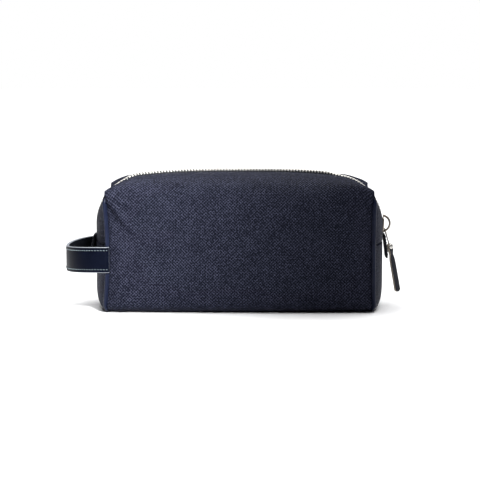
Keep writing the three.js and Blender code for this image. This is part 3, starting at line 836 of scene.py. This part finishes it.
def turned(profile, centre, axis, sides=28):
    """A solid turned about axis from (radius, height) points."""
    side_a = np.cross(axis, [0, 0, 1.0])
    side_a /= np.linalg.norm(side_a)
    side_b = np.cross(axis, side_a)
    a = np.linspace(0, 2 * np.pi, sides, endpoint=False)[:, None]
    circle = np.cos(a) * side_a + np.sin(a) * side_b
    rings = [centre + axis * h + r * circle for r, h in profile]
    v, f = loft(rings)
    return v, outward(v, f)


def link_and_rivet():
    a = np.linspace(0, 2 * np.pi, 40, endpoint=False)
    ring = RING_AT + 2.1 * (np.cos(a)[:, None] * LINK_DIR + np.sin(a)[:, None] * np.array([0, 1.0, 0]))
    rv, rf = tube(ring, 0.56, 14, closed=True)
    length = np.linalg.norm(RIVET - RING_AT)
    t = np.linspace(2.0, length - 1.7, 18)
    shank = RING_AT + LINK_DIR * t[:, None]
    radius = np.interp(t, [2.0, 3.2, 9, length - 3, length - 1.7], [0.95, 0.62, 0.52, 0.6, 0.8])
    sv, sf = tube(shank, radius, 14)
    eye = turned([(1.3, -0.32), (2.0, -0.4), (2.2, -0.25), (2.2, 0.25), (2.0, 0.4), (1.3, 0.32)],
                 RIVET, PULL_FACE)
    v, f = join([(rv, outward(rv, rf)), (sv, outward(sv, sf)), eye])
    obj = make("puller_link", v, f, [ANTIQUE])
    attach(obj, "pull_link")
    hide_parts("pull_link")
    head = turned([(0.95, -1.7), (0.95, 1.5), (2.4, 1.5), (2.5, 1.7), (2.3, 2.15), (1.7, 2.5),
                   (0.9, 2.7), (0.2, 2.76)], RIVET, PULL_FACE)
    back = turned([(2.2, -1.5), (2.2, -1.7), (1.9, -1.95), (1.0, -2.05), (0.2, -2.08)],
                  RIVET, PULL_FACE)
    v, f = join([head, back])
    obj = make("puller_rivet", v, f, [NICKEL])
    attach(obj, "leather_pull")
    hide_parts("pull_rivet")


def pull_half(t):
    t = np.asarray(t, float)
    head = np.sqrt(np.maximum(9 - t * t, 0.2))
    body = 3 - 1.05 * np.exp(-((t - 7) ** 2) / 14) + 0.35 * t / PULL_LEN
    tip = np.clip((t - (PULL_LEN - 2.6)) / 2.6, 0, 1)
    return np.where(t < 0, head, body) * np.sqrt(np.maximum(1 - 0.93 * tip ** 2, 0.02))


def leather_pull():
    t = spans((-2.9, 0, 9), (0, PULL_LEN - 2.6, 34), (PULL_LEN - 2.6, PULL_LEN, 9))
    bend = 0.5 * np.sin(np.pi * np.clip(t, 0, PULL_LEN) / PULL_LEN)
    bulge = 0.16
    face_points = {5, 6, 7, 8, 9}  # of a ring's outline, those on the outer face
    parts, kinds = [], []
    for layer in (1, -1):
        rings = []
        for a, w, lean in zip(t, pull_half(t), bend):
            near_eye = 1 - smooth((a - 3.5) / 4)
            inner = 0.04 + 0.56 * near_eye
            outer = inner + 0.95
            half = [(w - 0.05, inner), (w, inner + 0.3), (w - 0.02, inner + 0.62),
                    (w - 0.25, outer - 0.06), (0.55 * w, outer + bulge * 0.7)]
            rings.append([RIVET + PULL_DIR * a + PULL_WIDE * y + PULL_FACE * (layer * h + lean * 0.4)
                          for y, h in both_sides(half, inner, outer + bulge)])
        v, f = loft(rings)
        count = len(rings[0])
        kinds += [0 if len(face) == 4 and {i % count for i in face} <= face_points else 1 for face in f]
        parts.append((v, outward(v, f)))
    v, f = join(parts)
    obj = make("zip_pull", v, f, [PULL, BEIGE_EDGE], face_mats=kinds)
    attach(obj, "leather_pull")
    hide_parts("leather_pull")


# ---- end tabs ------------------------------------------------------------------------
def tab_x(a):
    """x of a tab's back face, a mm down from its top."""
    return TAB_X + a * math.sin(TAB_LEAN) + 0.25 * math.sin(math.pi * a / TAB_LEN)


def end_tab(end_name, end, body):
    round_at = 19.6
    rings = []
    for a in spans((0, round_at, 22), (round_at, TAB_LEN, 8)):
        tip = np.clip((a - round_at) / 2.4, 0, 1)
        w = 12 - 2.6 * (1 - math.sqrt(max(1 - tip ** 2, 0)))
        z = TAB_TOP - a * math.cos(TAB_LEAN)
        half = [(w - 0.5, 0.05), (w, 0.35), (w - 0.12, 0.95), (w - 0.12, 1.0), (w, 1.6),
                (w - 0.5, 1.95), (0.6 * w, 2.1)]
        shrink = 1 - 0.18 * tip ** 3
        rings.append([(end * (tab_x(a) + 1 + (d - 1) * shrink), y, z)
                      for y, d in both_sides(half, 0.0, 2.12)])
    v, f = loft(rings)
    parts = [(v, outward(v, f))]
    kinds = [0] * len(f)
    # a row of stitches round the free edge, as (s, y) middles
    side_y, foot_s = 9.4, 19.4
    line = [(s, -side_y) for s in np.arange(2.0, 18.6, STITCH)]
    line += [(foot_s, y) for y in np.arange(-8.1, 8.3, STITCH)]
    line += [(s, side_y) for s in np.arange(18.2, 1.6, -STITCH)]
    for s, y in line:
        ends = []
        for k in (-0.9, 0, 0.9):
            ss, yy = (s, y + k) if s == foot_s else (s + k, y)
            proud = 2.12 + (0.16 if k == 0 else 0.0)
            ends.append((end * (tab_x(ss) + proud), yy, TAB_TOP - ss * math.cos(TAB_LEAN)))
        sv, sf = tube(np.array(ends), (0.2, 0.3, 0.2), 8)
        parts.append((sv, outward(sv, sf)))
        kinds += [1] * len(sf)
    v, f = join(parts)
    obj = make(f"tab_{end_name}", v, f, [TAB, DARK_THREAD], face_mats=kinds)
    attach(obj, body)
    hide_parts(f"{end_name}_end_tab")


# ---- handle --------------------------------------------------------------------------
def strap_curve(offset, t):
    """Plan point of the handle at t in -1..1, and how far it sags there."""
    t = np.asarray(t, float)
    k = np.clip(t, -1, 1)
    a, b = STRAP_REACH - STRAP_SEAM_X - offset, STRAP_HALF - offset
    c = np.abs(np.cos(k * np.pi / 2)) ** (2 / 2.2)
    s = np.abs(np.sin(k * np.pi / 2)) ** (2 / 2.2)
    tail = np.maximum(0, np.abs(t) - 1) * 28
    tuck = 1.6 * smooth(tail / 2.6)
    plan = np.stack([-STRAP_SEAM_X - a * c + tail, np.sign(t) * (b * s - tuck)], -1)
    return plan, 3.0 * (1 - s * s)


def strap_frame(t):
    """Plan point, outward direction and sag of the handle at each t."""
    p, sag = strap_curve(0, t)
    q, _ = strap_curve(1.0, t)
    n = p - q
    n /= np.linalg.norm(n, axis=1, keepdims=True)
    return p, n, sag


def strap_layer(half, out, thick, t, crown=0.0):
    """Verts, faces and kinds (0 face, 1 edge, 2 back) of one strap layer."""
    p, n, sag = strap_frame(t)
    r = thick * 0.42

    def corner(middle, near, up, turn):
        """A rounded edge of the section, as (depth, height, kind) points."""
        return [(middle - near * r * math.cos(a), up * (half - r + r * math.sin(a)), 1)
                for a in np.radians(np.linspace(*turn, 5))]

    face = []
    from_edge = (STITCH_IN - 1, STITCH_IN, STITCH_IN + 1, half * 0.7)
    for z in [half - e for e in from_edge] + [e - half for e in from_edge[::-1]]:
        groove = 0.14 if abs(abs(z) - (half - STITCH_IN)) < 0.01 else 0.0
        face.append((out + groove - crown * (1 - (z / half) ** 2), z, 0))
    section = corner(out + r, 1, 1, (90, 0)) + face + corner(out + r, 1, -1, (0, 90))
    section += corner(out + thick - r, -1, -1, (90, 0))
    section += [(out + thick, -half * 0.3, 2), (out + thick, half * 0.3, 2)]
    section += corner(out + thick - r, -1, 1, (0, 90))
    rings = []
    for (px, py), (nx, ny), drop in zip(p, n, sag):
        rings.append([(px - nx * d, py - ny * d, STRAP_Z + z - drop) for d, z, _ in section])
    v, f = loft(rings)
    count = len(section)
    kinds = []
    for face in f:
        if len(face) != 4:
            kinds.append(1)
            continue
        k = sorted({i % count for i in face})
        flags = [section[i][2] for i in k]
        if k == [0, count - 1]:
            kinds.append(1)
        else:
            kinds.append(0 if 0 in flags else 2 if 2 in flags else 1)
    return v, outward(v, f), kinds


def follow_handle(obj):
    """Bakes the transform into the mesh; the sewn ends sit in the seams."""
    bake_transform(obj)


def handle():
    bow = np.sin(np.linspace(-1, 1, 121) * np.pi / 2 * 0.999)
    t = np.concatenate([np.linspace(-1.1, -1, 6)[:-1], bow, np.linspace(1, 1.1, 6)[1:]])
    half = STRAP_W / 2
    v, f, marks = strap_layer(half, 0, 1.28, t, 0.12)
    parts = [(v, f)]
    # stitches on the outer face
    fine = np.linspace(-1.06, 1.06, 4000)
    p, n, sag = strap_frame(fine)
    run = np.concatenate([[0], np.cumsum(np.linalg.norm(np.diff(p, axis=0), axis=1))])
    for z in (half - STITCH_IN, STITCH_IN - half):
        for s in np.arange(1.2, run[-1] - 1.0, STITCH):
            pts = []
            for ds, h in ((-0.75, -0.06), (-0.5, 0.16), (0, 0.24), (0.5, 0.16), (0.75, -0.06)):
                x = np.interp(s + ds, run, p[:, 0])
                y = np.interp(s + ds, run, p[:, 1])
                nx, ny = np.interp(s + ds, run, n[:, 0]), np.interp(s + ds, run, n[:, 1])
                drop = np.interp(s + ds, run, sag)
                pts.append((x + nx * (h + 0.02), y + ny * (h + 0.02), STRAP_Z + z - drop + 0.12 * ds))
            sv, sf = tube(np.array(pts), (0.2, 0.32, 0.36, 0.32, 0.2), 8)
            sf = outward(sv, sf)
            parts.append((sv, sf))
            marks += [3] * len(sf)
    v, f = join(parts)
    obj = make("handle_outer", v, f, [STRAP, SILVER_EDGE, STRAP_BACK, THREAD], face_mats=marks)
    follow_handle(obj)
    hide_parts("handle_strap")
    v, f, kinds = strap_layer(half - 0.1, 1.34, 1.15, t)
    obj = make("handle_inner", v, f, [STRAP_BACK, SILVER_EDGE, STRAP_BACK], face_mats=kinds)
    follow_handle(obj)
    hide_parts("handle_lining")


# ---- build ---------------------------------------------------------------------------
for side_name, side in SIDES:
    for end_name, end in ENDS:
        leather_half(side_name, side, end_name, end)
        lining_half(side_name, side, end_name, end)
        teeth_half(side_name, side, end_name, end)
        tape_half(side_name, side, end_name, end)
        piping(side_name, side, end_name, end)
for end_name, end in ENDS:
    lower_end(end_name, end)
end_tab("left", -1, "left_tab")
end_tab("right", 1, "bag_body")
base()
slider()
link_and_rivet()
leather_pull()
handle()
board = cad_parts["base_board"]
board.data.materials.clear()
board.data.materials.append(BOARD)


# ---- floor, light and camera ---------------------------------------------------------
def floor():
    n = Nodes("pale_floor", Roughness=0.65)
    cloud = n.noise(n.place(1.0), 3.0)
    n.done(n.ramp(cloud, [(0.3, (0.86, 0.86, 0.865)), (0.7, (0.88, 0.88, 0.885))]))
    s = 6.0
    mesh = bpy.data.meshes.new("floor")
    mesh.from_pydata([(-s, -s, 0), (s, -s, 0), (s, s, 0), (-s, s, 0)], [], [(0, 1, 2, 3)])
    mesh.materials.append(n.mat)
    obj = bpy.data.objects.new("floor", mesh)
    bpy.context.scene.collection.objects.link(obj)


def backdrop():
    """White where it is seen, and a weaker cool white as light on the bag."""
    world = bpy.data.worlds.new("studio")
    world.use_nodes = True
    sky = world.node_tree
    shown = sky.nodes.new("ShaderNodeBackground")
    shown.inputs[0].default_value = (1, 1, 1, 1)
    shown.inputs[1].default_value = 1.0
    lighting = sky.nodes["Background"]
    lighting.inputs[0].default_value = (0.96, 0.98, 1, 1)
    lighting.inputs[1].default_value = 0.08
    choose = sky.nodes.new("ShaderNodeMixShader")
    sky.links.new(sky.nodes.new("ShaderNodeLightPath").outputs["Is Camera Ray"], choose.inputs[0])
    sky.links.new(lighting.outputs[0], choose.inputs[1])
    sky.links.new(shown.outputs[0], choose.inputs[2])
    sky.links.new(choose.outputs[0], sky.nodes["World Output"].inputs[0])
    bpy.context.scene.world = world
    bpy.context.scene.view_settings.view_transform = "Standard"


def add(name, data):
    obj = bpy.data.objects.new(name, data)
    bpy.context.scene.collection.objects.link(obj)
    return obj


def aim(obj, location, target):
    obj.location = location
    obj.rotation_euler = (Vector(target) - obj.location).to_track_quat("-Z", "Y").to_euler()


def lights_and_camera():
    key = add("key", bpy.data.lights.new("key", "SPOT"))
    key.data.energy = 150
    key.data.spot_size = math.radians(16)
    key.data.spot_blend = 1.0
    key.data.shadow_soft_size = 0.10
    aim(key, (0.20, -0.85, 0.66), (-0.125, -0.05, 0.070))
    overhead = add("overhead", bpy.data.lights.new("overhead", "SUN"))
    overhead.data.energy = 5.4
    overhead.data.angle = math.radians(75)
    overhead.rotation_euler = (math.radians(-15), 0, 0)
    camera = add("camera", bpy.data.cameras.new("camera"))
    aim(camera, (0.0005, -1.91, 0.265), (0.0005, 0, 0.0613))
    camera.data.sensor_width = 36
    camera.data.lens = 154.6
    bpy.context.scene.camera = camera


floor()
backdrop()
lights_and_camera()
